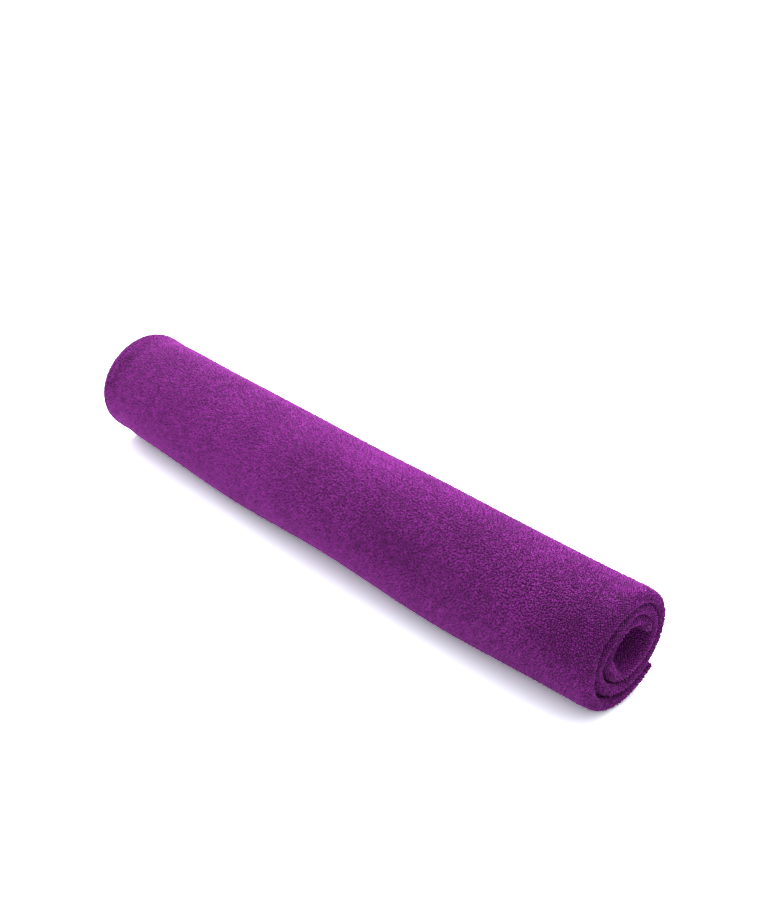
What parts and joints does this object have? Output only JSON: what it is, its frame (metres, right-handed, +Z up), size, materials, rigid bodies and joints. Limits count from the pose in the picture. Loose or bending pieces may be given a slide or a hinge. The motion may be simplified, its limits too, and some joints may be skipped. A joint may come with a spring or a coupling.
{
  "type": "rolled travel towel",
  "caption": "Small plush microfibre quick-dry towel with overlocked hems, folded in half and rolled up along its length.",
  "frame": {"origin": "middle of the roll's footprint, on the surface it lies on", "axes": "+X along the roll towards its folded end, +Z up, +Y towards the side that the free edge is on"},
  "size_m": [0.38, 0.0645, 0.0628],
  "materials": {
    "plush_microfibre": "short dense pile, matt with a soft sheen",
    "overlock_thread": "close rows of textured polyester thread, matt"
  },
  "bodies": {
    "root": {"cloth_panel": "plush_microfibre", "core_side_hem": "overlock_thread", "free_side_hem": "overlock_thread", "inner_end_hem": "overlock_thread", "outer_end_hem": "overlock_thread"}
  },
  "joints": []
}
